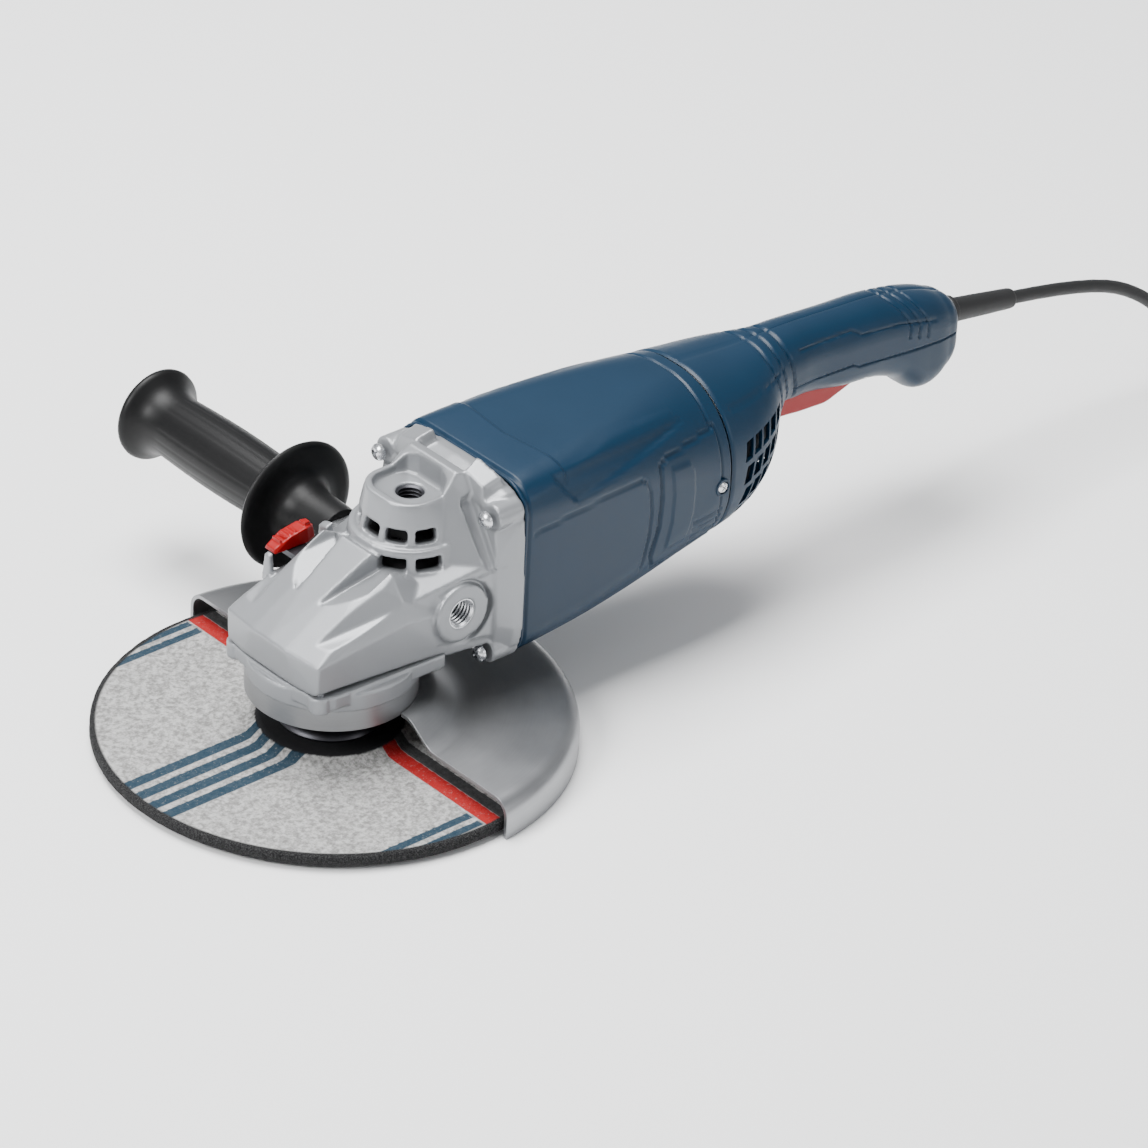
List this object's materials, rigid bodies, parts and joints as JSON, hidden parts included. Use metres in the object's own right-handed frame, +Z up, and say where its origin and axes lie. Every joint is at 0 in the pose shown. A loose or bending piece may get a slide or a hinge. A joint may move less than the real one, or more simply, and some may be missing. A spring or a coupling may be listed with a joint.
{
  "type": "angle grinder",
  "caption": "Large two-handed angle grinder with a depressed-centre wheel, half guard, screw-in side handle, paddle trigger in the rear handle and a mains lead wound for storage.",
  "frame": {"origin": "bottom centre of the box round the tool without its lead: on the floor under the wheel guard", "axes": "+X from the wheel to the rear handle, +Y to the fitted side handle, +Z up along the spindle"},
  "size_m": [0.8101, 0.331, 0.133],
  "materials": {
    "cast_alloy": "silver painted casting",
    "blue_housing": "fine-grained moulded plastic",
    "black_plastic": "moulded plastic",
    "red_plastic": "moulded plastic",
    "steel": "machined",
    "guard_steel": "pressed and polished sheet",
    "dark_steel": "blackened",
    "abrasive": "resin-bonded grit with a printed label",
    "copper": "enamelled wire",
    "laminations": "stacked sheet",
    "rubber": "moulded rubber",
    "brass": "turned",
    "carbon": "pressed carbon"
  },
  "bodies": {
    "housing": {"gear_housing": "cast_alloy", "housing_screws": "steel", "bearing_flange": "cast_alloy", "flange_screws": "steel", "lower_bearing": "steel", "bearing_cover": "steel", "oil_seal": "rubber", "needle_bush": "brass", "lock_spring": "dark_steel", "bearing_bridge": "cast_alloy", "front_bearing": "steel", "rear_bearing": "steel", "bearing_cup": "rubber", "air_baffle": "black_plastic", "stator_core": "laminations", "upper_field_coil": "copper", "lower_field_coil": "copper", "motor_housing": "blue_housing", "brush_holders": "brass", "carbon_brushes": "carbon", "brush_springs": "steel", "brush_cover_right": "blue_housing", "brush_cover_left": "blue_housing", "cover_screws": "steel", "handle_shell_left": "blue_housing", "handle_shell_right": "blue_housing", "handle_screws": "steel", "switch_module": "black_plastic", "trigger_pin": "steel", "trigger_spring": "steel", "cord_clamp": "black_plastic", "clamp_screws": "steel", "bend_sleeve": "rubber", "inner_lead": "rubber", "side_grip": "black_plastic", "side_stud": "steel", "cord_tube": "rubber", "cord_coil": "rubber", "coil_tie": "black_plastic", "plug": "black_plastic"},
    "spindle": {"spindle": "steel", "crown_gear": "steel", "gear_circlip": "dark_steel", "inner_flange": "dark_steel", "grinding_wheel": "abrasive", "clamping_nut": "dark_steel"},
    "armature": {"armature_shaft": "steel", "armature_core": "laminations", "armature_winding": "copper", "commutator": "copper", "fan": "black_plastic", "pinion": "steel"},
    "guard": {"guard_hood": "guard_steel", "guard_collar": "guard_steel", "guard_screw": "steel", "guard_nut": "steel"},
    "lock": {"lock_pin": "dark_steel", "lock_button": "red_plastic"},
    "trigger": {"trigger": "red_plastic"},
    "plunger": {"switch_plunger": "black_plastic"}
  },
  "joints": [
    {"name": "armature_spin", "type": "hinge", "parent": "housing", "child": "armature", "pos_m": [-0.04175, -0.03775, 0.08], "axis": [1, 0, 0], "continuous": true},
    {"name": "spindle_spin", "type": "hinge", "parent": "housing", "child": "spindle", "pos_m": [-0.14175, -0.03775, 0.04], "axis": [0, 0, 1], "continuous": true},
    {"name": "guard_turn", "type": "hinge", "parent": "housing", "child": "guard", "pos_m": [-0.14175, -0.03775, 0.036], "axis": [0, 0, 1], "range_deg": [-90, 90]},
    {"name": "lock_press", "type": "slide", "parent": "housing", "child": "lock", "axis": [0, 0, -1], "range_m": [0, 0.0045], "stiffness_N_per_m": 800, "springref_m": -0.003, "deforming": ["lock_spring"]},
    {"name": "trigger_press", "type": "hinge", "parent": "housing", "child": "trigger", "pos_m": [0.19025, -0.03775, 0.09], "axis": [0, 1, 0], "range_deg": [0, 5], "stiffness_Nm_per_rad": 3, "springref_deg": -8.59},
    {"name": "plunger_slide", "type": "slide", "parent": "housing", "child": "plunger", "axis": [0, 0, 1], "range_m": [0, 0.0029]}
  ],
  "couplings": [
    {"joint": "armature_spin", "follows": "spindle_spin", "ratio": 3.8},
    {"joint": "plunger_slide", "follows": "trigger_press", "m_per_rad": 0.0324}
  ]
}
